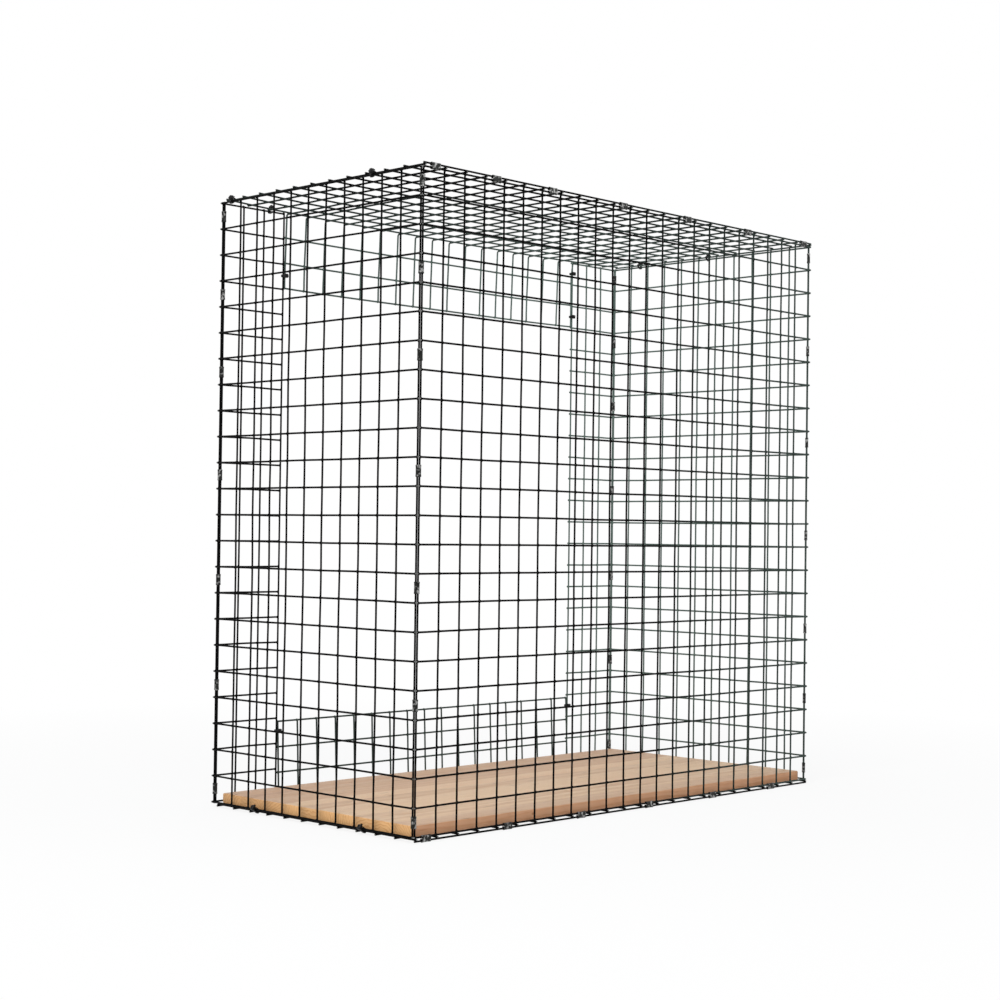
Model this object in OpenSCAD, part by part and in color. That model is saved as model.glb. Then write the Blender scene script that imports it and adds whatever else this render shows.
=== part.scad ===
// Window box catio: a cage of welded wire mesh that is open at the back, where a flange of the
// same mesh surrounds the opening, with a loose wooden floor board.
// X runs along the front from left to right, Y from the front to the window, Z up.
// The origin is the middle of the cage's underside.

/* [Mesh] */
// Distance from one wire of the mesh to the next
pitch = 25.4; // [22:0.1:32]
// Thickness of a coated wire across its flats
wire_d = 1.8; // [1.4:0.1:2.4]
// How far a weld sets two crossing wires into each other
weld_sink = 0.3; // [0.1:0.1:0.5]
// How far a cut wire end stands out from the edge wire's surface
wire_end = 0.9; // [0.2:0.1:1]

/* [Cage] */
// Cells across the front
cells_wide = 23; // [14:1:26]
// Cells from the front to the window
cells_deep = 11; // [8:1:13]
// Cells from the base to the roof
cells_high = 23; // [14:1:26]
// Cells across the flange that surrounds the window opening
flange_cells = 3; // [2:1:4]

/* [J-clips] */
// Play between two wires that lie side by side
wire_play = 0.1; // [0.05:0.05:0.3]
// Length of a clip along its wires
clip_length = 10.6; // [8:0.1:14]
// Thickness of the clip's strip
clip_wall = 0.6; // [0.4:0.1:0.9]
// Play between a clip and its wires
clip_play = 0.1; // [0.05:0.05:0.3]
// Width of the seam where the strip closes
clip_seam = 0.5; // [0.3:0.1:0.8]
// Cells from one clip to the next
clip_every = 4; // [3:1:6]

/* [Zip ties] */
// Width of the strap
tie_width = 2.5; // [2:0.1:3.6]
// Thickness of the strap
tie_wall = 1; // [0.8:0.1:1.3]
// Play between a strap and its wires
tie_play = 0.3; // [0.2:0.05:0.5]
// Length of the locking head along the strap
head_length = 4.8; // [4:0.1:6]
// Width of the locking head
head_width = 4.2; // [3.8:0.1:5]
// Height of the locking head above the strap
head_height = 2.8; // [2:0.1:3.5]
// Length of the trimmed tail that stands out of the head
tail_length = 1.2; // [0.5:0.1:3]

/* [Floor board] */
// Thickness of the board
floor_t = 9.8; // [6:0.1:19]
// Gap between the board's ends and the side panels' wires
floor_end_gap = 3.6; // [3:0.1:8]
// Gap between the board and the front panel's wires
floor_front_gap = 4.6; // [2:0.1:12]
// Gap between the board and the rear flange's wires
floor_rear_gap = 6.8; // [4:0.1:12]
// Width of the eased edges
floor_ease = 0.8; // [0.3:0.1:1.5]

/* [Hidden] */
// Widths of the glued planks from front to back, as shares of the board's depth
plank_shares = [26, 26, 25, 17, 33, 26, 24, 34, 31, 28];
plank_count = len(plank_shares);
// Every clip and tie sits in the middle of a cell
mid_cell = 0.5;
// Whole cells left free before the first tie and behind the last one, along the side panels
bottom_ties_free = [2, 2];
top_left_ties_free = [2, 0];
top_right_ties_free = [5, 1];
// Cells from the flange's inner wire to the tie that holds the roof's rear edge
rear_top_tie_cells = 0.7;

// The wires are eight-sided, so that flats meet at the welds. The bent ones are round, so that
// each bend is a quarter of a ring.
wire_sides = 8;
round_sides = 32;
bend_sides = 48;
wire_r = wire_d / 2;
// Height of one layer of wires above the other
layer = wire_d - weld_sink;
// Distance between the centres of two wires that lie side by side
seat = wire_d + wire_play;
// The same distance when they lie at 45 degrees round a corner
nest = seat / sqrt(2);

mesh_w = cells_wide * pitch;
mesh_d = cells_deep * pitch;
mesh_h = cells_high * pitch;
flange_w = flange_cells * pitch;

// The corner edges: the side panels' planes are at X = 0 and X = cage_w, the front's is at Y = 0
cage_w = mesh_w + 2 * nest;
side_rear_y = nest + mesh_d;
// The side flanges' first wires lie behind the side panels' last ones, and so far outwards
// that the top and bottom flanges fit between them, one wire beside the other, in one plane
flange_out = seat - nest;
flange_y = side_rear_y + sqrt(seat ^ 2 - flange_out ^ 2);

// The roof's and the base's front and rear edge wires
edge_front_y = -layer;
edge_rear_y = edge_front_y + mesh_d;
edge_z = seat + layer;

// Ends of the wires, measured from the edge wire's centre: cut long, or cut flush
cut_long = wire_r + wire_end;
cut_flush = wire_r;

// The top and bottom flanges are flaps of the roof's and the base's sheets, bent at their rear
// edge wire until they stand in the side flanges' plane
fold_y = edge_rear_y + cut_flush;
fold_r = flange_y - fold_y;
// Length of a flap's wires from the bend to the last wire that crosses them
flap_run = flange_w - cut_flush - fold_r * PI / 2;
flap_cells = cells_wide - 2 * flange_cells;

// Inner radii of what goes round a wire
clip_bore = wire_r + clip_play;
tie_bore = wire_r + tie_play;

// The frame's place in the cage: the middle of its depth, and the clips that reach lowest
mid_y = flange_y / 2;
foot_z = -edge_z - clip_bore - clip_wall;

floor_front_y = wire_r + floor_front_gap;
floor_rear_y = flange_y - wire_r - floor_rear_gap;
floor_x = wire_r + floor_end_gap;
floor_z = wire_r - seat;
floor_d = floor_rear_y - floor_front_y;

wire_colour = [0.09, 0.11, 0.1];
clip_colour = [0.24, 0.25, 0.24];
tie_colour = [0.05, 0.05, 0.05];
plank_colours = ["burlywood", "tan", "peru"];

// Every piece is drawn from the cage's front left corner and then put in the frame
module in_frame() {
    translate([-cage_w / 2, -mid_y, -foot_z]) children();
}

// The right side is the left side's mirror image
module on_right() {
    translate([cage_w, 0, 0]) mirror([1, 0, 0]) children();
}

// The roof's height is the base's mirror image
module on_top() {
    translate([0, 0, mesh_h]) mirror([0, 0, 1]) children();
}

// ---- Welded mesh ----

module wire(length) {
    linear_extrude(length) rotate(180 / wire_sides)
        circle(d = wire_d / cos(180 / wire_sides), $fn = wire_sides);
}

// A welded sheet: wires along Y on the plane Z = 0, and wires along X one layer above them.
// ends_x and ends_y give how far the wires go past the edge wires at their low and high ends.
module mesh_sheet(cells_x, cells_y, ends_x, ends_y) {
    for (i = [0 : cells_x])
        translate([i * pitch, -ends_y[0], 0]) rotate([-90, 0, 0])
            wire(cells_y * pitch + ends_y[0] + ends_y[1]);
    for (k = [0 : cells_y])
        translate([-ends_x[0], k * pitch, layer]) rotate([0, 90, 0])
            wire(cells_x * pitch + ends_x[0] + ends_x[1]);
}

module front_panel() {
    color(wire_colour) in_frame()
        translate([nest, 0, 0]) rotate([90, 0, 0])
            mesh_sheet(cells_wide, cells_high, [cut_long, cut_long], [cut_flush, cut_flush]);
}

module side_panel() {
    translate([0, side_rear_y, 0]) rotate([90, 0, -90])
        mesh_sheet(cells_deep, cells_high, [cut_flush, cut_long], [cut_flush, cut_flush]);
}

module left_panel() {
    color(wire_colour) in_frame() side_panel();
}

module right_panel() {
    color(wire_colour) in_frame() on_right() side_panel();
}

module roof_sheet() {
    translate([nest, edge_front_y, mesh_h + seat])
        mesh_sheet(cells_wide, cells_deep, [cut_long, cut_long], [cut_long, cut_flush]);
}

module roof_panel() {
    color(wire_colour) in_frame() roof_sheet();
}

module base_panel() {
    color(wire_colour) in_frame() on_top() roof_sheet();
}

// ---- Flange round the window opening ----

module side_flange() {
    translate([flange_w - flange_out, flange_y, 0]) rotate([90, 0, 180])
        mesh_sheet(flange_cells, cells_high, [cut_flush, cut_long], [cut_flush, cut_flush]);
}

module left_flange() {
    color(wire_colour) in_frame() side_flange();
}

module right_flange() {
    color(wire_colour) in_frame() on_right() side_flange();
}

module round_section() {
    circle(d = wire_d, $fn = round_sides);
}

// One wire of the base's flap, from its quarter bend upwards
module bent_wire() {
    rotate([90, 0, 90]) rotate(-90)
        rotate_extrude(angle = 90, $fn = bend_sides) translate([fold_r, 0]) round_section();
    translate([0, fold_r, 0]) linear_extrude(flap_run + cut_flush) round_section();
}

// The base's flap: its wires go on from the base's, bend and stand up
module low_flange() {
    translate([nest + flange_w, fold_y, fold_r - seat]) {
        for (i = [0 : flap_cells])
            translate([i * pitch, 0, 0]) bent_wire();
        for (k = [0 : flange_cells - 1])
            translate([-cut_flush, fold_r + layer, flap_run - k * pitch]) rotate([0, 90, 0])
                wire(flap_cells * pitch + 2 * cut_flush);
    }
}

module bottom_flange() {
    color(wire_colour) in_frame() low_flange();
}

module top_flange() {
    color(wire_colour) in_frame() on_top() low_flange();
}

// ---- Places along an edge, in cells ----

function every_few(first, last) = [for (c = [first : clip_every : last]) c];
function clip_row(cells) =
    concat(every_few(mid_cell, cells - 1.5 * clip_every), [cells - mid_cell]);
function full_clip_row(cells) = concat(clip_row(cells), [cells - clip_every + mid_cell]);
function from_far_end(row, cells) = [for (c = row) cells - c];
function tie_row(free) = [free[0] + mid_cell, cells_deep - free[1] - mid_cell];

// Children drawn along Z are put along an edge that runs along X, Y or Z
module along_x(row, start) {
    for (c = row) translate([start + c * pitch, 0, 0]) rotate([90, 0, 90]) children();
}

module along_y(row, start) {
    for (c = row) translate([0, start + c * pitch, 0]) rotate([90, 0, 0]) children();
}

module along_z(row) {
    for (c = row) translate([0, 0, c * pitch]) children();
}

// A fastener drawn from the origin along X is laid from wire p to wire q
module from_to(p, q) {
    translate([p.x, p.y, 0]) rotate(atan2(q.y - p.y, q.x - p.x)) children();
}

// ---- Fasteners ----

module long_hole(span, r) {
    circle(r, $fn = round_sides);
    translate([span, 0]) circle(r, $fn = round_sides);
    translate([0, -r]) square([span, 2 * r]);
}

// A strip that is closed round two wires, with a seam and a lap on the side of -Y
module j_clip(span) {
    outer = clip_bore + clip_wall;
    linear_extrude(clip_length, center = true) {
        difference() {
            long_hole(span, outer);
            long_hole(span, clip_bore);
            translate([span / 2 - clip_seam / 2, -2 * outer]) square([clip_seam, 2 * outer]);
        }
        translate([span / 2 + clip_seam / 2, -outer - clip_wall / 2])
            square([clip_bore, clip_wall]);
    }
}

// A strap round two wires. The head sits on the end by the first wire when head_side is 0,
// else in the middle of the strap's side, towards +Y or -Y.
module zip_tie(span, head_side) {
    outer = tie_bore + tie_wall;
    linear_extrude(tie_width, center = true) difference() {
        long_hole(span, outer);
        long_hole(span, tie_bore);
    }
    if (head_side == 0)
        rotate(90) translate([0, tie_bore]) tie_head();
    else
        translate([span / 2, 0]) mirror([0, head_side < 0 ? 1 : 0]) translate([0, tie_bore])
            tie_head();
}

// The locking head lies along X on the strap, with the trimmed tail out of one end
module tie_head() {
    ease = head_height / 4;
    full = tie_wall + head_height;
    linear_extrude(head_width, center = true)
        polygon([
            [-head_length / 2, tie_wall / 2],
            [head_length / 2, tie_wall / 2],
            [head_length / 2, full - ease],
            [head_length / 2 - ease, full],
            [-head_length / 2 + ease, full],
            [-head_length / 2, full - ease]
        ]);
    linear_extrude(tie_width, center = true)
        translate([head_length / 2 - ease, tie_wall]) square([tail_length + ease, tie_wall]);
}

// ---- Clipped edges ----

module front_corner_clips(row) {
    along_z(row) from_to([0, nest], [nest, 0]) j_clip(seat);
}

module rear_corner_clips(row) {
    along_z(row) from_to([-flange_out, flange_y], [0, side_rear_y]) j_clip(seat);
}

module front_edge_clips(row) {
    mirror_in_y(edge_front_y)
        along_x(row, nest) translate([edge_front_y, 0]) rotate(-90) j_clip(edge_z);
}

module front_left_clips() {
    color(clip_colour) in_frame() front_corner_clips(clip_row(cells_high));
}

module front_right_clips() {
    row = from_far_end(full_clip_row(cells_high), cells_high);
    color(clip_colour) in_frame() on_right() front_corner_clips(row);
}

module rear_left_clips() {
    color(clip_colour) in_frame() rear_corner_clips(full_clip_row(cells_high));
}

module rear_right_clips() {
    color(clip_colour) in_frame() on_right() rear_corner_clips(full_clip_row(cells_high));
}

module bottom_front_clips() {
    color(clip_colour) in_frame() front_edge_clips(every_few(mid_cell, cells_wide));
}

module top_front_clips() {
    row = from_far_end(full_clip_row(cells_wide), cells_wide);
    color(clip_colour) in_frame() on_top() front_edge_clips(row);
}

module mirror_in_y(y) {
    translate([0, y, 0]) mirror([0, 1, 0]) translate([0, -y, 0]) children();
}

// ---- Tied edges ----

module side_edge_ties(row, head_side) {
    side_wire = [-layer, 0];
    base_wire = [nest, -seat];
    along_y(row, nest)
        from_to(side_wire, base_wire) zip_tie(norm(base_wire - side_wire), head_side);
}

module bottom_left_ties() {
    color(tie_colour) in_frame() side_edge_ties(tie_row(bottom_ties_free), 0);
}

module bottom_right_ties() {
    color(tie_colour) in_frame() on_right() side_edge_ties(tie_row(bottom_ties_free), 0);
}

module top_left_ties() {
    color(tie_colour) in_frame() on_top() side_edge_ties(tie_row(top_left_ties_free), -1);
}

module top_right_ties() {
    color(tie_colour) in_frame()
        on_top() on_right() side_edge_ties(tie_row(top_right_ties_free), -1);
}

// A strap round the side flange's inner wire and the low flange's first wire beside it,
// at a height given in cells
module seam_tie(cell) {
    along_z([cell]) translate([flange_w - flange_out, flange_y]) zip_tie(seat, -1);
}

module bottom_left_seam_tie() {
    color(tie_colour) in_frame() seam_tie(flange_cells - mid_cell);
}

module bottom_right_seam_tie() {
    color(tie_colour) in_frame() on_right() seam_tie(flange_cells - mid_cell);
}

module top_left_seam_tie() {
    color(tie_colour) in_frame() on_top() seam_tie(flange_cells - mid_cell);
}

module top_right_seam_ties() {
    color(tie_colour) in_frame() on_top() on_right() {
        seam_tie(flange_cells - mid_cell);
        seam_tie(mid_cell);
    }
}

// A strap round the left flange's topmost wire and the roof's rear edge wire
module rear_top_tie() {
    flange_wire = [flange_y + layer, mesh_h];
    roof_wire = [edge_rear_y, mesh_h + edge_z];
    color(tie_colour) in_frame()
        along_x([flange_cells - rear_top_tie_cells], 0)
            from_to(flange_wire, roof_wire) zip_tie(norm(roof_wire - flange_wire), -1);
}

// ---- Floor board ----

function share_before(i) = i == 0 ? 0 : plank_shares[i - 1] + share_before(i - 1);
function plank_y(i) = floor_d * share_before(i) / share_before(plank_count);

// Plank i, counted from the front. Only the board's own outer edges are eased.
module floor_plank(i) {
    y0 = plank_y(i - 1);
    y1 = plank_y(i);
    front = i == 1 ? floor_ease : 0;
    rear = i == plank_count ? floor_ease : 0;
    color(plank_colours[i % 3]) in_frame()
        translate([floor_x, floor_front_y, floor_z]) rotate([90, 0, 90])
            linear_extrude(cage_w - 2 * floor_x)
                polygon([
                    [y0 + front, 0],
                    [y1 - rear, 0],
                    if (rear > 0) [y1, rear],
                    if (rear > 0) [y1, floor_t - rear],
                    [y1 - rear, floor_t],
                    [y0 + front, floor_t],
                    if (front > 0) [y0, floor_t - front],
                    if (front > 0) [y0, front]
                ]);
}

front_panel();
left_panel();
right_panel();
roof_panel();
base_panel();
left_flange();
right_flange();
top_flange();
bottom_flange();
front_left_clips();
front_right_clips();
rear_left_clips();
rear_right_clips();
top_front_clips();
bottom_front_clips();
top_left_ties();
top_right_ties();
bottom_left_ties();
bottom_right_ties();
top_left_seam_tie();
top_right_seam_ties();
bottom_left_seam_tie();
bottom_right_seam_tie();
rear_top_tie();
for (i = [1 : plank_count])
    floor_plank(i);
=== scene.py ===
"""The looks of a window box catio: a cage of vinyl-coated welded wire mesh, held at its corners
by J-clips and zip ties, with a flange round the open window side and a loose wooden floor board.

Lengths are millimetres, measured from the cage's front left bottom corner, as its maker would:
X runs along the front, Y from the front to the window, and Z up. CAGE_TO_FRAME puts a finished
mesh in the shared frame, in metres.
"""

import math

import bmesh
import bpy
from mathutils import Matrix, Vector


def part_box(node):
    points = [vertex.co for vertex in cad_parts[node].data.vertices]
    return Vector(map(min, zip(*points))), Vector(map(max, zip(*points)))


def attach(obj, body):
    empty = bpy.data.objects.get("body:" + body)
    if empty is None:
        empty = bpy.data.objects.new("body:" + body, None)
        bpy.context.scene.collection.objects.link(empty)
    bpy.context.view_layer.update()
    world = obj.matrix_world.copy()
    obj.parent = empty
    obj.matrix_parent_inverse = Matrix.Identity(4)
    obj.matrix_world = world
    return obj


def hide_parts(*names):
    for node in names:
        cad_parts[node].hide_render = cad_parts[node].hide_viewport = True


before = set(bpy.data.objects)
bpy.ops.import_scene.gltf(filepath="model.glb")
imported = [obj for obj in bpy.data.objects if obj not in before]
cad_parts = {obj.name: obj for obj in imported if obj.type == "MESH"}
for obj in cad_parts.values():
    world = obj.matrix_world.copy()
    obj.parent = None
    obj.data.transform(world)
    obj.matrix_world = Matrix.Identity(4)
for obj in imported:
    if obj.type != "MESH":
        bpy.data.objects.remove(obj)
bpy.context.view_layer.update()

# ---- Sizes of the cage ----

PITCH = 25.4
WIRE_D = 1.8
WIRE_R = WIRE_D / 2
WELD_SINK = 0.3
LAYER = WIRE_D - WELD_SINK

CELLS_WIDE = 23
CELLS_DEEP = 11
CELLS_HIGH = 23
FLANGE_CELLS = 3
FLANGE_W = FLANGE_CELLS * PITCH
MESH_W = CELLS_WIDE * PITCH
MESH_H = CELLS_HIGH * PITCH

# Centre distance of two wires side by side, and the same distance round a corner at 45 degrees
SEAT = WIRE_D + 0.1
NEST = SEAT / math.sqrt(2)

CAGE_W = MESH_W + 2 * NEST
SIDE_REAR_Y = NEST + CELLS_DEEP * PITCH
FLANGE_OUT = SEAT - NEST
FLANGE_Y = SIDE_REAR_Y + math.sqrt(SEAT ** 2 - FLANGE_OUT ** 2)
EDGE_FRONT_Y = -LAYER
EDGE_REAR_Y = EDGE_FRONT_Y + CELLS_DEEP * PITCH
EDGE_Z = SEAT + LAYER

# Wire ends, measured from the edge wire's centre: cut long or cut flush
CUT_LONG = WIRE_R + 0.9
CUT_FLUSH = WIRE_R

# The top and bottom flanges are flaps of the roof's and the base's sheets, bent at their rear edge
# wire. A bend of FOLD_R would put them in the side flanges' plane. The real bends are sharper, so
# the flaps start in front of that plane and lean out to it.
FLAP_CELLS = CELLS_WIDE - 2 * FLANGE_CELLS
FOLD_R = FLANGE_Y - EDGE_REAR_Y - CUT_FLUSH
TOP_FOLD_R = 1.6
LOW_FOLD_R = 1.0
# How far the flaps' outer seam ties lie from the side panels' top or bottom wire
TIE_UP = FLANGE_W - PITCH / 2
# The roof hangs through by this much in the middle of its rear edge
ROOF_SAG = 3.6

CLIP_LENGTH = 10.6
CLIP_WALL = 0.6
CLIP_BORE = WIRE_R + 0.1
CLIP_SEAM = 0.5

TIE_WIDTH = 2.5
TIE_WALL = 1.0
TIE_BORE = WIRE_R + 0.3
HEAD_LENGTH = 4.8
HEAD_WIDTH = 4.2
HEAD_HEIGHT = 2.8
TAIL_LENGTH = 1.2

METRE = 1000


# ---- Places ----

def turn(degrees, axis):
    return Matrix.Rotation(math.radians(degrees), 4, axis)


def shift(x, y, z):
    return Matrix.Translation((x, y, z))


def mirror(axis):
    return Matrix.Scale(-1, 4, axis)


def cage_to_frame():
    """The front panel's lowest corner is known in the cage and in the frame."""
    in_cage = Vector((NEST - CUT_LONG, -LAYER - WIRE_R, -WIRE_R))
    in_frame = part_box("front_panel")[0]
    return Matrix.Translation(in_frame) @ Matrix.Scale(1 / METRE, 4) @ Matrix.Translation(-in_cage)


CAGE_TO_FRAME = cage_to_frame()
AS_DRAWN = Matrix.Identity(4)
ON_RIGHT = shift(CAGE_W, 0, 0) @ mirror((1, 0, 0))
ON_TOP = shift(0, 0, MESH_H) @ mirror((0, 0, 1))
FRONT_EDGE_TURNED = shift(0, EDGE_FRONT_Y, 0) @ mirror((0, 1, 0)) @ shift(0, -EDGE_FRONT_Y, 0)

# A fastener is drawn round two wires that run along Z. These turn it to an edge along X, Y or Z.
ALONG_X = turn(90, "Z") @ turn(90, "X")
ALONG_Y = turn(90, "X")
ALONG_Z = AS_DRAWN


# ---- Node trees ----

class Tree:
    """A node tree while it is built: add() makes one node, sets it and feeds its inputs, and
    out() returns the first output of such a node."""

    def __init__(self, tree):
        self.nodes = tree.nodes
        self.links = tree.links

    def add(self, kind, inputs=None, **settings):
        made = self.nodes.new(kind)
        for name, value in settings.items():
            setattr(made, name, value)
        self.feed(made, inputs or {})
        return made

    def out(self, kind, inputs=None, **settings):
        return self.add(kind, inputs, **settings).outputs[0]

    def feed(self, node, inputs):
        for key, value in inputs.items():
            if isinstance(value, bpy.types.NodeSocket):
                self.links.new(value, node.inputs[key])
            else:
                node.inputs[key].default_value = value

    def maths(self, operation, *values):
        return self.out("ShaderNodeMath", dict(enumerate(values)), operation=operation)

    def vector_maths(self, operation, *values):
        return self.out("ShaderNodeVectorMath", dict(enumerate(values)), operation=operation)

    def scaled(self, vector, factor):
        return self.out("ShaderNodeVectorMath", {0: vector, "Scale": factor}, operation="SCALE")

    def combined(self, x, y, z):
        return self.out("ShaderNodeCombineXYZ", {0: x, 1: y, 2: z})

    def split(self, vector):
        return self.add("ShaderNodeSeparateXYZ", {0: vector}).outputs

    def length(self, vector):
        return self.add("ShaderNodeVectorMath", {0: vector}, operation="LENGTH").outputs["Value"]

    def clamped(self, value):
        return self.out("ShaderNodeClamp", {"Value": value})

    def noise(self, vector, scale, detail, roughness=0.5):
        return self.add("ShaderNodeTexNoise", {
            "Vector": vector, "Scale": scale, "Detail": detail, "Roughness": roughness,
        }).outputs

    def either_way(self, inputs):
        """A random value from -1 to 1."""
        chance = self.add("FunctionNodeRandomValue", {2: -1.0, 3: 1.0, **inputs},
                          data_type="FLOAT")
        return chance.outputs[1]

    def joined(self, *parts):
        made = self.add("GeometryNodeJoinGeometry")
        for part in parts:
            self.links.new(part, made.inputs[0])
        return made.outputs[0]

    def instances(self, points, instance, **more):
        return self.out("GeometryNodeInstanceOnPoints",
                        {"Points": points, "Instance": instance, **more})

    def row(self, count, start, step):
        return self.out("GeometryNodeMeshLine", mode="OFFSET", count_mode="TOTAL",
                        inputs={"Count": count, "Start Location": start, "Offset": step})


def geometry_tree(name, inputs):
    """A new Geometry Nodes tree with these named inputs; returns it, its Tree and its inputs."""
    tree = bpy.data.node_groups.new(name, "GeometryNodeTree")
    tree.interface.new_socket("Geometry", in_out="INPUT", socket_type="NodeSocketGeometry")
    tree.interface.new_socket("Geometry", in_out="OUTPUT", socket_type="NodeSocketGeometry")
    for label, kind in inputs:
        tree.interface.new_socket(label, in_out="INPUT", socket_type="NodeSocket" + kind)
    build = Tree(tree)
    given = build.add("NodeGroupInput").outputs
    return tree, build, given


def finish_tree(build, geometry):
    build.add("NodeGroupOutput", {"Geometry": geometry})


def new_object(name, data):
    made = bpy.data.objects.new(name, data)
    bpy.context.scene.collection.objects.link(made)
    return made


def run_tree(name, tree, values, start_mesh=None):
    """Runs a tree on a mesh and returns the result as a plain mesh."""
    carrier = new_object(name + "_carrier", start_mesh or bpy.data.meshes.new(name))
    modifier = carrier.modifiers.new(tree.name, "NODES")
    modifier.node_group = tree
    sockets = {s.name: s.identifier for s in tree.interface.items_tree if s.in_out == "INPUT"}
    for label, value in values.items():
        modifier[sockets[label]] = value
    graph = bpy.context.evaluated_depsgraph_get()
    mesh = bpy.data.meshes.new_from_object(carrier.evaluated_get(graph), depsgraph=graph)
    carrier.modifiers.clear()
    bpy.data.objects.remove(carrier)
    return mesh


def placed(mesh, place, shaped=None):
    """Puts a mesh in its place in the cage, its faces still outwards, lets shaped() move its
    points there, and puts it in the frame."""
    mesh.transform(place)
    if place.determinant() < 0:
        mesh.flip_normals()
    for point in mesh.vertices if shaped else ():
        point.co = shaped(point.co)
    mesh.transform(CAGE_TO_FRAME)
    mesh.update()
    return mesh


def piece(name, mesh, body, node):
    made = new_object(name, mesh)
    mesh.name = name
    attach(made, body)
    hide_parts(node)
    return made


# ---- Welded mesh ----

WIRE_SIDES = 12
CORE_SIDES = 10
CORE_SHARE = 0.76
# How far the bare core stands out of the cut coat
CORE_OUT = 0.3
# Half the width and half the height of the coat's fillet at a weld
WELD_SPREAD = 1.5
WELD_RISE = 1.1
# Segments of a wire in each cell, where it is straight and where it is bent
STRAIGHT_SEGMENTS = 2
BENT_SEGMENTS = 20
# A sheet sways in waves about this long, and its seeds lie this far apart in the noise
SWAY_LENGTH = 95
SEED_STEP = (97.0, 53.0, 31.0)
# A sheet's edge wires lie straight, and from this many cells in it sways in full
HELD_CELLS = 1.5


def wire_along_z(build, given, length, segments):
    """One coated wire along Z, with the bare steel core showing at both cut ends."""
    coat = build.out("GeometryNodeMeshCylinder", {
        "Vertices": WIRE_SIDES,
        "Side Segments": segments,
        "Radius": build.maths("MULTIPLY", given["Wire Diameter"], 0.5),
        "Depth": build.maths("SUBTRACT", length, 2 * CORE_OUT),
    })
    core = build.out("GeometryNodeMeshCylinder", {
        "Vertices": CORE_SIDES,
        "Radius": build.maths("MULTIPLY", given["Wire Diameter"], CORE_SHARE / 2),
        "Depth": 2 * CORE_OUT,
    })
    bare = build.out("GeometryNodeStoreNamedAttribute", {
        "Geometry": core, "Name": "bare_core", "Value": True,
    }, data_type="BOOLEAN", domain="FACE")
    first = build.maths("MULTIPLY_ADD", length, -0.5, CORE_OUT)
    last = build.maths("MULTIPLY", first, -2)
    ends = build.row(2, build.combined(0, 0, first), build.combined(0, 0, last))
    return build.joined(coat, build.instances(ends, bare))


def laid(build, wire, rotation):
    return build.out("GeometryNodeTransform", {"Geometry": wire, "Rotation": rotation})


def sheet_length(build, given, cells, start, end):
    """A wire's length, and the place of its middle."""
    mesh = build.maths("MULTIPLY", given[cells], given["Pitch"])
    both = build.maths("ADD", given[start], given[end])
    difference = build.maths("SUBTRACT", given[end], given[start])
    length = build.maths("ADD", mesh, both)
    middle = build.maths("MULTIPLY", build.maths("ADD", mesh, difference), 0.5)
    return length, middle


def wires_along_y(build, given):
    length, middle = sheet_length(build, given, "Cells Along", "Along Start", "Along End")
    segments = build.maths("MULTIPLY", given["Cells Along"], given["Segments Per Cell"])
    wire = laid(build, wire_along_z(build, given, length, segments), (-math.pi / 2, 0, 0))
    count = build.maths("ADD", given["Cells Across"], 1)
    row = build.row(count, build.combined(0, middle, 0), build.combined(given["Pitch"], 0, 0))
    return build.instances(row, wire)


def wires_along_x(build, given):
    length, middle = sheet_length(build, given, "Cells Across", "Across Start", "Across End")
    segments = build.maths("MULTIPLY", given["Cells Across"], STRAIGHT_SEGMENTS)
    wire = laid(build, wire_along_z(build, given, length, segments), (0, math.pi / 2, 0))
    count = build.maths("ADD", given["Cells Along"], 1)
    start = build.combined(middle, 0, given["Layer"])
    return build.instances(build.row(count, start, build.combined(0, given["Pitch"], 0)), wire)


def weld_fillets(build, given):
    """The coat fills the corners where two wires are welded."""
    across = build.row(build.maths("ADD", given["Cells Across"], 1), (0, 0, 0),
                       build.combined(given["Pitch"], 0, 0))
    along = build.row(build.maths("ADD", given["Cells Along"], 1),
                      build.combined(0, 0, build.maths("MULTIPLY", given["Layer"], 0.5)),
                      build.combined(0, given["Pitch"], 0))
    ball = build.out("GeometryNodeMeshIcoSphere", {"Radius": 1.0, "Subdivisions": 2})
    fillet = build.out("GeometryNodeTransform", {
        "Geometry": ball, "Scale": (WELD_SPREAD, WELD_SPREAD, WELD_RISE),
    })
    return build.instances(across, build.instances(along, fillet))


def line_scatter(build, given, along, seed_step):
    """Each wire is welded a little off its even place: -1 to 1 for the wire nearest to a point."""
    line = build.maths("ROUND", build.maths("DIVIDE", along, given["Pitch"]))
    seed = build.maths("ADD", given["Seed"], seed_step)
    return build.either_way({"ID": line, "Seed": seed})


def border_fade(build, given, x, y):
    """0 on the sheet's edge wires, which stay straight, and 1 further in than HELD_CELLS."""
    u = build.maths("DIVIDE", x, given["Pitch"])
    v = build.maths("DIVIDE", y, given["Pitch"])
    from_sides = build.maths("MINIMUM", u, build.maths("SUBTRACT", given["Cells Across"], u))
    from_ends = build.maths("MINIMUM", v, build.maths("SUBTRACT", given["Cells Along"], v))
    nearest = build.maths("MINIMUM", from_sides, from_ends)
    return build.out("ShaderNodeMapRange", {
        "Value": nearest, "From Min": 0.0, "From Max": HELD_CELLS,
    }, interpolation_type="SMOOTHSTEP")


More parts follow.
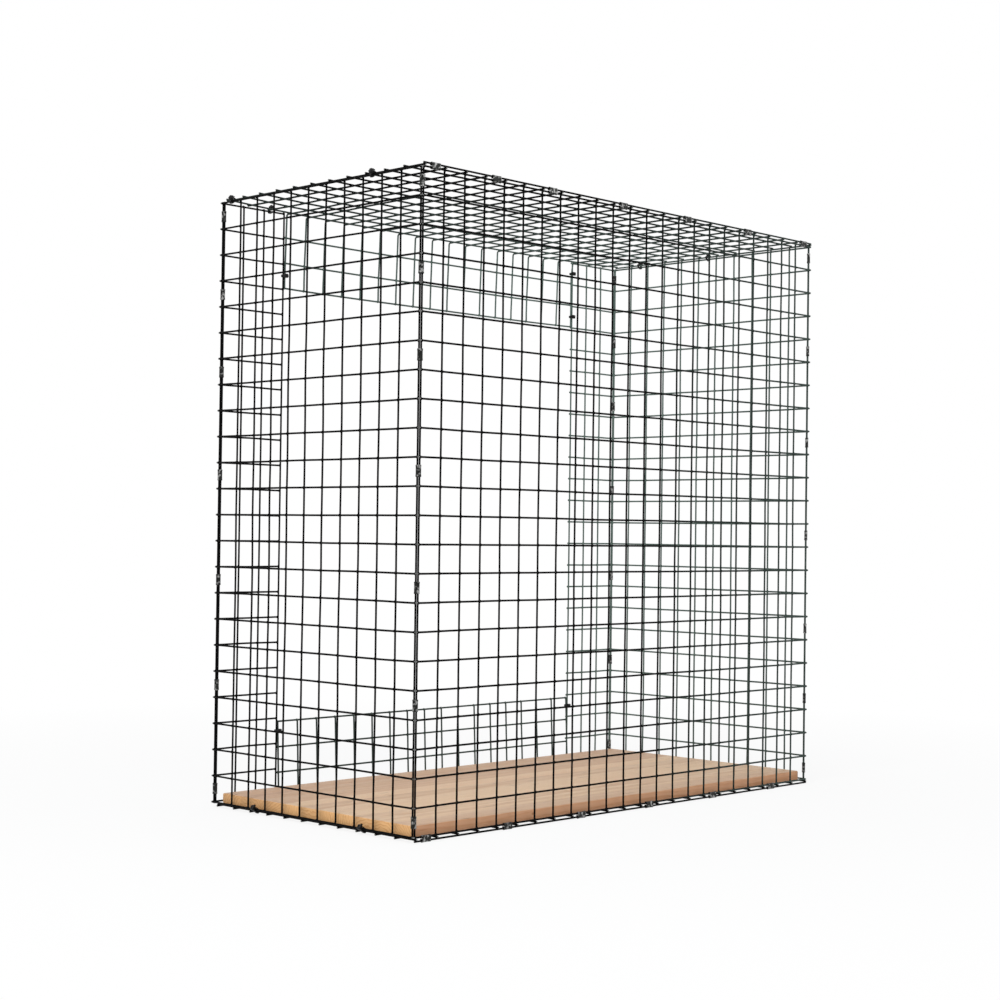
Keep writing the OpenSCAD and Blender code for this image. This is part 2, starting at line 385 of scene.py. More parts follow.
def hand_bent(build, given, geometry):
    """The sheet isn't quite flat or even: it sways softly, and each wire is a little off."""
    place = build.out("GeometryNodeInputPosition")
    x, y, _ = build.split(place)
    seeded = build.vector_maths("ADD", place, build.scaled(SEED_STEP, given["Seed"]))
    wave = build.noise(seeded, 1 / SWAY_LENGTH, 1.0)["Color"]
    sway = build.vector_maths("MULTIPLY", build.vector_maths("SUBTRACT", wave, (0.5,) * 3),
                              given["Sway"])
    uneven = build.combined(line_scatter(build, given, x, 1), line_scatter(build, given, y, 2), 0)
    both = build.vector_maths("ADD", sway, build.scaled(uneven, given["Scatter"]))
    offset = build.scaled(both, border_fade(build, given, x, y))
    return build.out("GeometryNodeSetPosition", {"Geometry": geometry, "Offset": offset})


def bent_down(build, given, geometry):
    """What lies beyond the fold line goes on round a quarter bend and then straight down."""
    x, y, z = build.split(build.out("GeometryNodeInputPosition"))
    radius = given["Fold Radius"]
    arc = build.maths("MULTIPLY", radius, math.pi / 2)
    beyond = build.maths("SUBTRACT", y, given["Fold Line"])
    flat = build.maths("MINIMUM", beyond, 0)
    round_bend = build.maths("MAXIMUM", build.maths("MINIMUM", beyond, arc), 0)
    hanging = build.maths("MAXIMUM", build.maths("SUBTRACT", beyond, arc), 0)
    angle = build.maths("DIVIDE", round_bend, radius)
    reach = build.maths("ADD", radius, z)
    bent_y = build.maths("ADD", build.maths("ADD", given["Fold Line"], flat),
                         build.maths("MULTIPLY", reach, build.maths("SINE", angle)))
    bent_z = build.maths("SUBTRACT", build.maths("MULTIPLY", reach, build.maths("COSINE", angle)),
                         build.maths("ADD", radius, hanging))
    return build.out("GeometryNodeSetPosition", {
        "Geometry": geometry, "Position": build.combined(x, bent_y, bent_z),
    })


# A fold line beyond every sheet's end, for a sheet that stays flat
NO_FOLD = (2.0 * MESH_W, 1.0)


def welded_mesh_tree():
    tree, build, given = geometry_tree("welded_mesh", [
        ("Cells Across", "Int"), ("Cells Along", "Int"), ("Pitch", "Float"),
        ("Wire Diameter", "Float"), ("Layer", "Float"),
        ("Across Start", "Float"), ("Across End", "Float"),
        ("Along Start", "Float"), ("Along End", "Float"), ("Segments Per Cell", "Int"),
        ("Fold Line", "Float"), ("Fold Radius", "Float"),
        ("Sway", "Vector"), ("Scatter", "Float"), ("Seed", "Int"),
        ("Coat", "Material"), ("Bare Steel", "Material"),
    ])
    parts = build.joined(wires_along_y(build, given), wires_along_x(build, given),
                         weld_fillets(build, given))
    real = build.out("GeometryNodeRealizeInstances", {"Geometry": parts})
    bent = bent_down(build, given, hand_bent(build, given, real))
    smooth = build.out("GeometryNodeSetShadeSmooth", {"Geometry": bent})
    coated = build.out("GeometryNodeSetMaterial", {"Geometry": smooth, "Material": given["Coat"]})
    bare = build.out("GeometryNodeInputNamedAttribute", {"Name": "bare_core"}, data_type="BOOLEAN")
    finish_tree(build, build.out("GeometryNodeSetMaterial", {
        "Geometry": coated, "Selection": bare, "Material": given["Bare Steel"],
    }))
    return tree


def welded_sheet(node, cells, ends_across, ends_along, place, sway, seed,
                 coat, fold=NO_FOLD, segments=STRAIGHT_SEGMENTS, shaped=None):
    """One sheet of welded mesh, as a piece that stands for its CAD node. fold gives the place
    and the radius of its bend."""
    mesh = run_tree(node, WELDED_MESH, {
        "Cells Across": cells[0], "Cells Along": cells[1], "Pitch": PITCH,
        "Wire Diameter": WIRE_D, "Layer": LAYER,
        "Across Start": ends_across[0], "Across End": ends_across[1],
        "Along Start": ends_along[0], "Along End": ends_along[1], "Segments Per Cell": segments,
        "Fold Line": fold[0], "Fold Radius": fold[1],
        "Sway": sway, "Scatter": WIRE_SCATTER, "Seed": seed,
        "Coat": coat, "Bare Steel": BARE_STEEL,
    })
    return piece(node + "_mesh", placed(mesh, place, shaped), "cage", node)


# How far a wire may be off its even place, and how far a sheet may sway: one that hangs free,
# one that carries the board on its flat top, and a narrow one
WIRE_SCATTER = 0.35
LOOSE = (0.9, 0.9, 1.5)
CARRYING = (0.8, 0.8, 0.0)
STIFF = (0.5, 0.5, 0.5)
FLUSH = (CUT_FLUSH, CUT_FLUSH)
LONG = (CUT_LONG, CUT_LONG)
FLUSH_LONG = (CUT_FLUSH, CUT_LONG)
LONG_FLUSH = (CUT_LONG, CUT_FLUSH)


def front_panel():
    welded_sheet("front_panel", (CELLS_WIDE, CELLS_HIGH), LONG, FLUSH,
                 shift(NEST, 0, 0) @ turn(90, "X"), LOOSE, 1, FRONT_COAT)


def side_panels():
    side = shift(0, SIDE_REAR_Y, 0) @ turn(-90, "Z") @ turn(90, "X")
    cells = (CELLS_DEEP, CELLS_HIGH)
    welded_sheet("left_panel", cells, FLUSH_LONG, FLUSH, side, LOOSE, 2, BLACK_COAT)
    welded_sheet("right_panel", cells, FLUSH_LONG, FLUSH, ON_RIGHT @ side, LOOSE, 3, GLARE_PALED_COAT)


def roof_sag(x, y):
    """How far the roof hangs through at a place in the cage. Its front and its sides are held."""
    flatness, growth = 4, 1.5
    off_middle = abs(2 * x / CAGE_W - 1)
    back = min(max(y / EDGE_REAR_Y, 0), 1)
    return ROOF_SAG * (1 - off_middle ** flatness) * back ** growth


def hung_through(point):
    return Vector((point.x, point.y, point.z - roof_sag(point.x, point.y)))


def roof_and_base():
    roof = shift(NEST, EDGE_FRONT_Y, MESH_H + SEAT)
    cells = (CELLS_WIDE, CELLS_DEEP)
    welded_sheet("roof_panel", cells, LONG, LONG_FLUSH, roof, LOOSE, 4, ROOF_COAT,
                 shaped=hung_through)
    welded_sheet("base_panel", cells, LONG, LONG_FLUSH, ON_TOP @ roof, CARRYING, 5,
                 BLACK_COAT)


def side_flanges():
    side = shift(FLANGE_W - FLANGE_OUT, FLANGE_Y, 0) @ turn(180, "Z") @ turn(90, "X")
    cells = (FLANGE_CELLS, CELLS_HIGH)
    welded_sheet("left_flange", cells, FLUSH_LONG, FLUSH, side, STIFF, 6, BLACK_COAT)
    welded_sheet("right_flange", cells, FLUSH_LONG, FLUSH, ON_RIGHT @ side, STIFF, 7, GLARE_PALED_COAT)


def leaned(point, away, height, lean):
    """Moves a flap's point back by a share of its lean. away is how far the point is from the
    side panels' top or bottom wire, and height where the whole lean is reached."""
    share = min(max(away / height, 0), 1)
    return Vector((point.x, point.y + lean * share, point.z))


def top_flap_shape(point):
    """It reaches the side flanges' plane at the height of its low ties, and its right edge wire
    already at the upper tie."""
    from_end = min(max((NEST + MESH_W - FLANGE_W - point.x) / PITCH, 0), 1)
    height = PITCH / 2 + from_end * (TIE_UP - PITCH / 2)
    return hung_through(leaned(point, MESH_H - point.z, height, FOLD_R - TOP_FOLD_R))


def low_flap_shape(point):
    """It reaches the side flanges' plane at its ties, and goes on a little beyond."""
    lean = (FOLD_R - LOW_FOLD_R) * FLANGE_W / TIE_UP
    return leaned(point, point.z, FLANGE_W, lean)


def top_and_low_flaps():
    """Each flap's first wire lies a cell beyond the roof's rear edge wire, along the sheet. The
    flap's coat begins where the roof's coat ends."""
    flap = shift(NEST + FLANGE_W, EDGE_REAR_Y + PITCH, MESH_H + SEAT)
    cells = (FLAP_CELLS, FLANGE_CELLS - 1)
    ends = (PITCH - CUT_FLUSH + 2 * CORE_OUT, CUT_FLUSH)
    line = CUT_FLUSH - PITCH
    welded_sheet("top_flange", cells, FLUSH, ends, flap, STIFF, 8, TOP_FLAP_COAT,
                 fold=(line, TOP_FOLD_R), segments=BENT_SEGMENTS, shaped=top_flap_shape)
    welded_sheet("bottom_flange", cells, FLUSH, ends, ON_TOP @ flap, STIFF, 9, LOW_FLAP_COAT,
                 fold=(line, LOW_FOLD_R), segments=BENT_SEGMENTS, shaped=low_flap_shape)


# ---- Fasteners in rows ----

PATTERNS = []
# How far a fastener may have slipped along its wires
SLIP = 0.7
MERGE_DISTANCE = 0.0005
SHARP_ANGLE = math.radians(40)


def fastener_row_tree():
    """Puts one fastener on every vertex of the mesh that it runs on."""
    tree, build, given = geometry_tree("fastener_row", [
        ("Fastener", "Object"), ("Turn", "Rotation"), ("Twist", "Float"), ("Slip", "Vector"),
        ("Seed", "Int"), ("Finish", "Material"),
    ])
    pattern = build.add("GeometryNodeObjectInfo", {"Object": given["Fastener"]})
    chance = build.either_way({"Seed": given["Seed"]})
    slipped = build.out("GeometryNodeSetPosition", {
        "Geometry": given["Geometry"], "Offset": build.scaled(given["Slip"], chance),
    })
    row = build.instances(slipped, pattern.outputs["Geometry"], Rotation=given["Turn"])
    twist = build.maths("MULTIPLY", chance, given["Twist"])
    twisted = build.out("GeometryNodeRotateInstances", {
        "Instances": row, "Rotation": build.combined(0, 0, twist), "Local Space": True,
    })
    real = build.out("GeometryNodeRealizeInstances", {"Geometry": twisted})
    finish_tree(build, build.out("GeometryNodeSetMaterial", {
        "Geometry": real, "Material": given["Finish"],
    }))
    return tree


def new_mesh(name, shape):
    """A mesh from a bmesh, welded and with its faces outwards."""
    bmesh.ops.remove_doubles(shape, verts=shape.verts, dist=MERGE_DISTANCE)
    bmesh.ops.recalc_face_normals(shape, faces=shape.faces)
    mesh = bpy.data.meshes.new(name)
    shape.to_mesh(mesh)
    shape.free()
    mesh.shade_smooth()
    mesh.set_sharp_from_angle(angle=SHARP_ANGLE)
    return mesh


def pattern_object(name, mesh):
    """An object that a row repeats, and that clear_patterns() takes away at the end."""
    made = new_object(name, mesh)
    PATTERNS.append(made)
    return made


def clear_patterns():
    for made in PATTERNS:
        bpy.data.objects.remove(made)


def fastener_row(node, pattern, places, edge, first, angle, place, finish, seed, twist=0):
    """Fasteners at these places along an edge. first is the first wire's place in the section
    across the edge, and angle the direction from there to the second wire, in degrees. twist is
    how far, in degrees, a fastener may be turned on its wires."""
    across = edge @ Vector((*first, 0))
    along = edge @ Vector((0, 0, 1))
    along = Vector([abs(part) for part in along])
    points = bpy.data.meshes.new(node)
    points.from_pydata([across + along * place_mm for place_mm in places], [], [])
    turned = (edge @ turn(angle, "Z")).to_euler()
    mesh = run_tree(node, FASTENER_ROW, {
        "Fastener": pattern, "Turn": turned, "Twist": math.radians(twist),
        "Slip": along * SLIP, "Seed": seed, "Finish": finish,
    }, points)
    return piece(node.replace("_clips", "_j_clips").replace("_tie", "_zip_tie"),
                 placed(mesh, place), "cage", node)


def stadium(span, radius, steps):
    """A closed path round two wires: from the middle of the side of -Y, clockwise."""
    middle = [(span / 2, -radius)]
    near = [(-radius * math.sin(math.pi * s / steps), -radius * math.cos(math.pi * s / steps))
            for s in range(steps + 1)]
    far = [(span + radius * math.sin(math.pi * s / steps), radius * math.cos(math.pi * s / steps))
           for s in range(steps + 1)]
    return middle + near + [(span / 2, radius)] + far


def path_normals(path, closed):
    """The outward direction at each point of a clockwise path."""
    count = len(path)
    normals = []
    for i in range(count):
        before = path[i - 1] if closed or i > 0 else path[i]
        after = path[(i + 1) % count] if closed or i < count - 1 else path[i]
        step = Vector((after[0] - before[0], after[1] - before[1])).normalized()
        normals.append(Vector((-step.y, step.x)))
    return normals


def skin(shape, rings, closed=False):
    """Faces from each ring of vertices to the next. An open row gets a face at both ends."""
    for one, other in zip(rings, rings[1:] + rings[:1] if closed else rings[1:]):
        for k in range(len(one)):
            after = (k + 1) % len(one)
            shape.faces.new((one[k], one[after], other[after], other[k]))
    if not closed:
        shape.faces.new(rings[0])
        shape.faces.new(rings[-1])


def swept(shape, path, section, closed, swell=None):
    """Sweeps a section of (out, z) points along a path in XY. swell[i] pushes the section's outer
    side further out at path point i."""
    normals = path_normals(path, closed)
    rings = []
    for i, (x, y) in enumerate(path):
        extra = swell[i] if swell else 0
        ring = []
        for out, z in section:
            reach = out + (extra if out > 0 else 0)
            ring.append(shape.verts.new((x + normals[i].x * reach, y + normals[i].y * reach, z)))
        rings.append(ring)
    skin(shape, rings, closed)


# ---- J-clips ----

CLIP_TWIST = 1.5


def clip_section():
    """Across the strip: rounded rims, and a waist where the pliers closed it."""
    half_t, half_l, rim, waist = CLIP_WALL / 2, CLIP_LENGTH / 2, 0.12, 0.14
    collar, waist_start = 1.3, 2.2
    outer = [
        (half_t - rim, -half_l),
        (half_t, -half_l + rim),
        (half_t, -half_l + collar),
        (half_t - waist, -half_l + waist_start),
        (half_t - waist, half_l - waist_start),
        (half_t, half_l - collar),
        (half_t, half_l - rim),
        (half_t - rim, half_l),
    ]
    inner = [
        (-half_t + rim, half_l),
        (-half_t, half_l - rim),
        (-half_t, -half_l + rim),
        (-half_t + rim, -half_l),
    ]
    return outer + inner


def j_clip(span):
    """A steel strip bent round two wires. Its ends meet at a seam, and one is rolled over."""
    bend_steps, lap = 8, 0.3
    radius = CLIP_BORE + CLIP_WALL / 2
    pinch = 0.16 + 0.05 * (span - SEAT)
    loop = stadium(span, radius, bend_steps)[1:]
    top = loop.index((span / 2, radius))
    loop[top] = (span / 2, radius - pinch)
    to_seam = span / 2 - CLIP_SEAM / 2
    roll = [(span - to_seam * share, -radius + pinch * share) for share in (0.3, 0.6, 1)]
    path = [(to_seam, -radius + pinch)] + loop + roll
    swell = [0.0] * (len(path) - 2) + [lap, lap]
    shape = bmesh.new()
    swept(shape, path, clip_section(), False, swell)
    return pattern_object("j_clip_pattern", new_mesh("j_clip", shape))


def every_fourth(first, last):
    return [first + 4 * k for k in range(int((last - first) // 4) + 1)]


def clip_row(cells):
    """Evenly along an edge, with the last two clips set from its end."""
    return every_fourth(0.5, cells - 6) + [cells - 0.5, cells - 3.5]


def from_far_end(row, cells):
    return [cells - place for place in row]


def corner_clips():
    """Up the four corners, where the side panels meet the front panel and the side flanges."""
    pattern = j_clip(SEAT)
    front = ((0, NEST), -45)
    out_and_back = (FLANGE_OUT, SIDE_REAR_Y - FLANGE_Y)
    rear = ((-FLANGE_OUT, FLANGE_Y), math.degrees(math.atan2(out_and_back[1], out_and_back[0])))
    upward = clip_row(CELLS_HIGH)
    rows = [
        ("front_left_clips", upward, front, AS_DRAWN, 11),
        ("front_right_clips", from_far_end(upward, CELLS_HIGH), front, ON_RIGHT, 12),
        ("rear_left_clips", upward, rear, AS_DRAWN, 13),
        ("rear_right_clips", upward, rear, ON_RIGHT, 14),
    ]
    for node, row, (first, angle), place, seed in rows:
        fastener_row(node, pattern, [cell * PITCH for cell in row], ALONG_Z, first, angle, place,
                     CLIP_STEEL, seed, CLIP_TWIST)


def front_edge_clips():
    """Along the front panel's top and bottom edges, where the roof and the base meet it."""
    pattern = j_clip(EDGE_Z)
    rows = [
        ("bottom_front_clips", every_fourth(0.5, CELLS_WIDE), FRONT_EDGE_TURNED, 15),
        ("top_front_clips", from_far_end(clip_row(CELLS_WIDE), CELLS_WIDE),
         ON_TOP @ FRONT_EDGE_TURNED, 16),
    ]
    for node, row, place, seed in rows:
        fastener_row(node, pattern, [NEST + cell * PITCH for cell in row], ALONG_X,
                     (EDGE_FRONT_Y, 0), -90, place, CLIP_STEEL, seed, CLIP_TWIST)


# ---- Zip ties ----

HEAD_BOTTOM = TIE_WALL / 2
HEAD_TOP = TIE_WALL + HEAD_HEIGHT
HEAD_EASE = 1.0


def strap_section():
    half_t, half_w, ease = TIE_WALL / 2, TIE_WIDTH / 2, 0.22
    return [
        (half_t - ease, -half_w), (half_t, -half_w + ease),
        (half_t, half_w - ease), (half_t - ease, half_w),
        (-half_t + ease, half_w), (-half_t, half_w - ease),
        (-half_t, -half_w + ease), (-half_t + ease, -half_w),
    ]


def box_between(shape, low, high, place):
    made = bmesh.ops.create_cube(shape, size=1)["verts"]
    middle = [(a + b) / 2 for a, b in zip(low, high)]
    size = [b - a for a, b in zip(low, high)]
    fit = place @ shift(*middle) @ Matrix.Diagonal((*size, 1))
    bmesh.ops.transform(shape, matrix=fit, verts=made)
    return made


def add_prism(shape, outline, half_width, place):
    """A prism across the strap from an outline in XY."""
    skin(shape, [[shape.verts.new(place @ Vector((x, y, z))) for x, y in outline]
                 for z in (-half_width, half_width)])


def add_head(shape, place):
    """The locking head: eased edges, and a window on top where the pawl holds the strap."""
    corners = box_between(shape, (-HEAD_LENGTH / 2, HEAD_BOTTOM, -HEAD_WIDTH / 2),
                          (HEAD_LENGTH / 2, HEAD_TOP, HEAD_WIDTH / 2), place)
    # Each edge once, always in the same order, which a set doesn't keep
    edges = list(dict.fromkeys(edge for corner in corners for edge in corner.link_edges))
    bmesh.ops.bevel(shape, geom=edges, offset=HEAD_EASE, segments=3, profile=0.5, affect="EDGES")
    up = (place.to_3x3() @ Vector((0, 1, 0))).normalized()
    shape.normal_update()
    shape.faces.ensure_lookup_table()
    top = max(shape.faces, key=lambda face: face.calc_center_median().dot(up))
    window_rim, window_slope, window_depth = 0.4, 0.1, 0.7
    bmesh.ops.inset_region(shape, faces=[top], thickness=window_rim, depth=0)
    bmesh.ops.inset_region(shape, faces=[top], thickness=window_slope, depth=-window_depth)
    pawl = ((-0.9, HEAD_TOP - 1.0, -0.6), (0.6, HEAD_TOP - 0.35, 0.6))
    box_between(shape, *pawl, place)


def add_tail(shape, place):
    """The strap's trimmed end out of the head, with the ridges that the pawl catches."""
    start = HEAD_LENGTH / 2 - HEAD_EASE * 2
    end = HEAD_LENGTH / 2 + TAIL_LENGTH
    steps, groove, narrowing = 8, 0.26, 0.1
    ridges = [(end + (start - end) * k / steps, TIE_WALL * 2 - (groove if k % 2 else 0))
              for k in range(steps + 1)]
    outline = [(start, TIE_WALL), (end, TIE_WALL)] + ridges
    add_prism(shape, outline, TIE_WIDTH / 2 - narrowing, place)


def zip_tie(name, span, head_at_end=False):
    """A nylon strap round two wires. Its head is at the first wire's end, or else in the middle
    of the strap's side, towards -Y."""
    if head_at_end:
        place = turn(90, "Z") @ shift(0, TIE_BORE, 0)
    else:
        place = shift(span / 2, 0, 0) @ mirror((0, 1, 0)) @ shift(0, TIE_BORE, 0)
    shape = bmesh.new()
    add_head(shape, place)
    add_tail(shape, place)
    swept(shape, stadium(span, TIE_BORE + TIE_WALL / 2, 10), strap_section(), True)
    return pattern_object(name, new_mesh(name, shape))


def direction(first, second):
    """The distance from one wire to the next in the section, and its direction in degrees."""
    step = Vector(second) - Vector(first)
    return step.length, math.degrees(math.atan2(step.y, step.x))


def side_edge_ties():
    """Along the side panels' top and bottom edges."""
    first = (-LAYER, 0)
    span, angle = direction(first, (NEST, -SEAT))
    head_at_end = zip_tie("bottom_tie_pattern", span, head_at_end=True)
    head_on_side = zip_tie("top_tie_pattern", span)
    deep = CELLS_DEEP
    rows = [
        ("bottom_left_ties", head_at_end, (2.5, deep - 2.5), AS_DRAWN, 21),
        ("bottom_right_ties", head_at_end, (2.5, deep - 2.5), ON_RIGHT, 22),
        ("top_left_ties", head_on_side, (2.5, deep - 0.5), ON_TOP, 23),
        ("top_right_ties", head_on_side, (5.5, deep - 1.5), ON_TOP @ ON_RIGHT, 24),
    ]
    for node, pattern, cells, place, seed in rows:
        fastener_row(node, pattern, [NEST + cell * PITCH for cell in cells], ALONG_Y, first, angle,
                     place, TIE_NYLON, seed)


def seam_ties():
    """Where the side flanges' inner wires meet the first wires of the bottom and top flanges."""
    pattern = zip_tie("seam_tie_pattern", SEAT)
    last = FLANGE_CELLS - 0.5
    rows = [
        ("bottom_left_seam_tie", (last,), AS_DRAWN, 25),
        ("bottom_right_seam_tie", (last,), ON_RIGHT, 26),
        ("top_left_seam_tie", (last,), ON_TOP, 27),
        ("top_right_seam_ties", (last, 0.5), ON_TOP @ ON_RIGHT, 28),
    ]
    for node, cells, place, seed in rows:
        fastener_row(node, pattern, [cell * PITCH for cell in cells], ALONG_Z,
                     (FLANGE_W - FLANGE_OUT, FLANGE_Y), 0, place, TIE_NYLON, seed)


def rear_top_tie():
    """Where the roof's rear edge wire meets the left flange's topmost wire."""
    x = (FLANGE_CELLS - 0.7) * PITCH
    flange_wire = (FLANGE_Y + LAYER, MESH_H)
    roof_wire = (EDGE_REAR_Y, MESH_H + EDGE_Z - roof_sag(x, EDGE_REAR_Y))
    span, angle = direction(flange_wire, roof_wire)
    pattern = zip_tie("rear_top_tie_pattern", span)
    fastener_row("rear_top_tie", pattern, [x], ALONG_X, flange_wire, angle, AS_DRAWN,
                 TIE_NYLON, 29)


# ---- Floor board ----

# The board's outer edges are eased, and the planks' glued edges hardly at all
BOARD_EASE = 0.8
GLUE_EASE = 0.02
EASE_STEPS = 3


def rounded_section(size_y, size_z, front, rear):
    """A plank's section about its middle, with its front and rear edges eased this much."""
    points = []
    corners = [(1, -1, rear, -90), (1, 1, rear, 0), (-1, 1, front, 90), (-1, -1, front, 180)]
    for side_y, side_z, ease, start in corners:
        centre = (side_y * (size_y / 2 - ease), side_z * (size_z / 2 - ease))
        for step in range(EASE_STEPS + 1):
            angle = math.radians(start + 90 * step / EASE_STEPS)
            points.append((centre[0] + ease * math.cos(angle), centre[1] + ease * math.sin(angle)))
    return points


def plank_mesh(low, high, front, rear):
    """A plank along X between two corners, in millimetres, eased at its ends too."""
    middle = (low + high) / 2
    size = high - low
    section = rounded_section(size.y, size.z, front, rear)
    rounding = [math.radians(90 * step / EASE_STEPS) for step in range(EASE_STEPS + 1)]
    left = [(low.x + BOARD_EASE * (1 - math.cos(a)), BOARD_EASE * (1 - math.sin(a)))
            for a in rounding]
    # One more ring further in keeps the shading of the long faces flat
    left.append((low.x + 2 * BOARD_EASE, 0))
    right = [(low.x + high.x - x, shrink) for x, shrink in reversed(left)]
    shape = bmesh.new()
    rings = []
    for x, shrink in left + right:
        flat = 1 - shrink / (size.z / 2)
        rings.append([shape.verts.new((x, middle.y + y, middle.z + z * flat)) for y, z in section])
    skin(shape, rings)
    return new_mesh("plank", shape)


# Each plank's own wood, from the front: where its pith lies from its middle (back, up), the
# spacing of its rings, how dark it is, and how red
PLANK_WOOD = [
    ((34, -30), 2.6, 0.10, 0.55),
    ((3, -17), 3.0, 0.05, 0.15),
    ((-5, -15), 3.2, 0.12, 0.30),
    ((60, 8), 2.2, 0.00, 0.10),
    ((-72, 6), 2.4, 0.05, 0.00),
    ((4, -64), 3.4, 0.20, 0.35),
    ((58, -8), 2.0, 0.02, 0.20),
    ((-24, -36), 2.8, 0.22, 0.60),
    ((16, -44), 2.6, 0.28, 0.70),
    ((-38, -22), 3.0, 0.24, 0.80),
]


def floor_board():
    for number, wood in enumerate(PLANK_WOOD, 1):
        node = f"floor_plank_{number}"
        low, high = (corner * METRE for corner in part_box(node))
        front = BOARD_EASE if number == 1 else GLUE_EASE
        rear = BOARD_EASE if number == len(PLANK_WOOD) else GLUE_EASE
        mesh = plank_mesh(low, high, front, rear)
        mesh.transform(Matrix.Scale(1 / METRE, 4))
        mesh.materials.append(plank_wood(number, (low + high) / 2, *wood))
        piece(f"board_plank_{number}", mesh, "floor", node)


# ---- Materials ----

def emptied(owner):
    """The node tree of a material or of the world, cleared to be built."""
    owner.use_nodes = True
    owner.node_tree.nodes.clear()
    return Tree(owner.node_tree)


def new_material(name):
    made = bpy.data.materials.new(name)
    build = emptied(made)
    shader = build.add("ShaderNodeBsdfPrincipled")
    build.add("ShaderNodeOutputMaterial", {"Surface": shader.outputs[0]})
    place = build.add("ShaderNodeTexCoord").outputs["Object"]
    return made, build, shader, place


def speckle(build, place, size, detail=2.0, stretch=None):
    """Noise whose features are about this many millimetres, from 0 to 1."""
    vector = build.vector_maths("MULTIPLY", place, stretch) if stretch else place
    return build.noise(vector, METRE / size, detail)["Fac"]


def spread(build, value, low, high, to_low=0.0, to_high=1.0):
    """Stretches the part of a value from low to high over to_low to to_high."""
    return build.out("ShaderNodeMapRange", {
        "Value": value, "From Min": low, "From Max": high, "To Min": to_low, "To Max": to_high,
    })


def blended(build, share, first, second):
    made = build.add("ShaderNodeMix", {0: share, 6: first, 7: second}, data_type="RGBA")
    return made.outputs[2]


def bumped(build, height, depth, strength):
    """A bump whose full height is this many millimetres."""
    return build.out("ShaderNodeBump", {
        "Height": height, "Distance": depth / METRE, "Strength": strength,
    })


def colour(red, green, blue):
    return (red, green, blue, 1.0)


VINYL_BLACK = colour(0.003, 0.003, 0.003)
# Painted glare: the pale greenish grey that stands in for glare and haze on the right and rear
# wires
GLARE_PALE_VINYL = colour(0.12, 0.167, 0.148)


def painted_glare(build, place, at_left, at_right):
    """How much painted glare pales the coat, a share that stands in for glare and haze: from
    at_left to at_right along the cage, and more at the rear than at the front. Below 0 counts as
    0, and above 1 as 1."""
    cage_length, more_each_metre_back, cloud_size = 0.6, 1.4, 30
    x, y, _ = build.split(place)
    slope = (at_right - at_left) / cage_length
    across = build.maths("MULTIPLY_ADD", x, slope, (at_left + at_right) / 2)
    cloud = spread(build, speckle(build, place, cloud_size), 0.35, 0.65, 0.85, 1.15)
    further = build.maths("MULTIPLY_ADD", y, more_each_metre_back, across)
    return build.clamped(build.maths("MULTIPLY", further, cloud))


def vinyl_coat(name, at_left, at_right):
    """The wires' vinyl coat: nearly black, with painted glare that pales it to a greenish grey
    towards the right and the rear, and a little uneven."""
    made, build, shader, place = new_material(name)
    # Painted glare: the coat is paled towards the right and the rear
    glare_share = painted_glare(build, place, at_left, at_right)
    grain = speckle(build, place, 0.7)
    build.feed(shader, {
        "Base Color": blended(build, glare_share, VINYL_BLACK, GLARE_PALE_VINYL),
        "Roughness": spread(build, grain, 0.3, 0.7, 0.38, 0.55),
        "Normal": bumped(build, grain, 0.05, 0.5),
        "Specular IOR Level": 0.02,
    })
    return made


def bare_steel():
    """The sheared wire ends."""
    made, build, shader, place = new_material("sheared_steel")
    rust = spread(build, speckle(build, place, 1.2), 0.55, 0.75)
    shear = speckle(build, place, 0.4)
    build.feed(shader, {
        "Base Color": blended(build, rust, colour(0.16, 0.165, 0.16), colour(0.07, 0.055, 0.045)),
        "Roughness": spread(build, shear, 0.3, 0.7, 0.3, 0.5),
        "Metallic": 1.0,
    })
    return made


def clip_steel():
    """The clips: dull grey steel, with brighter rubs from the pliers."""
    made, build, shader, place = new_material("clip_steel")
    rub = spread(build, speckle(build, place, 3.2), 0.52, 0.64)
    brushed = speckle(build, place, 0.5, 3.0, (1.0, 1.0, 0.2))
    build.feed(shader, {
        "Base Color": blended(build, rub, colour(0.022, 0.023, 0.022), colour(0.30, 0.30, 0.295)),
        "Roughness": spread(build, brushed, 0.3, 0.7, 0.32, 0.5),
        "Normal": bumped(build, brushed, 0.04, 0.6),
        "Metallic": 1.0,
    })
    return made


def tie_nylon():
    """Black nylon, satin, with a trace of mould texture."""
    made, build, shader, place = new_material("black_nylon")
    grain = speckle(build, place, 0.6)
    cloud = speckle(build, place, 4)
    darkest, lightest = colour(0.002, 0.002, 0.002), colour(0.007, 0.007, 0.007)
    build.feed(shader, {
        "Base Color": blended(build, cloud, darkest, lightest),
        "Roughness": spread(build, grain, 0.3, 0.7, 0.36, 0.52),
        "Normal": bumped(build, grain, 0.03, 0.5),
        "Specular IOR Level": 0.2,
    })
    return made


EARLY_PALE = colour(0.85, 0.615, 0.405)
EARLY_RED = colour(0.80, 0.53, 0.35)
LATE_PALE = colour(0.66, 0.39, 0.21)
LATE_RED = colour(0.50, 0.24, 0.12)
EDGE_RED = colour(0.66, 0.28, 0.12)
PITCH_BROWN = colour(0.16, 0.07, 0.032)
KNOT_BROWN = colour(0.08, 0.032, 0.015)
END_EARLY = colour(0.93, 0.54, 0.225)
END_LATE = colour(0.70, 0.32, 0.10)
DARK_WOOD = colour(0.25, 0.12, 0.06)


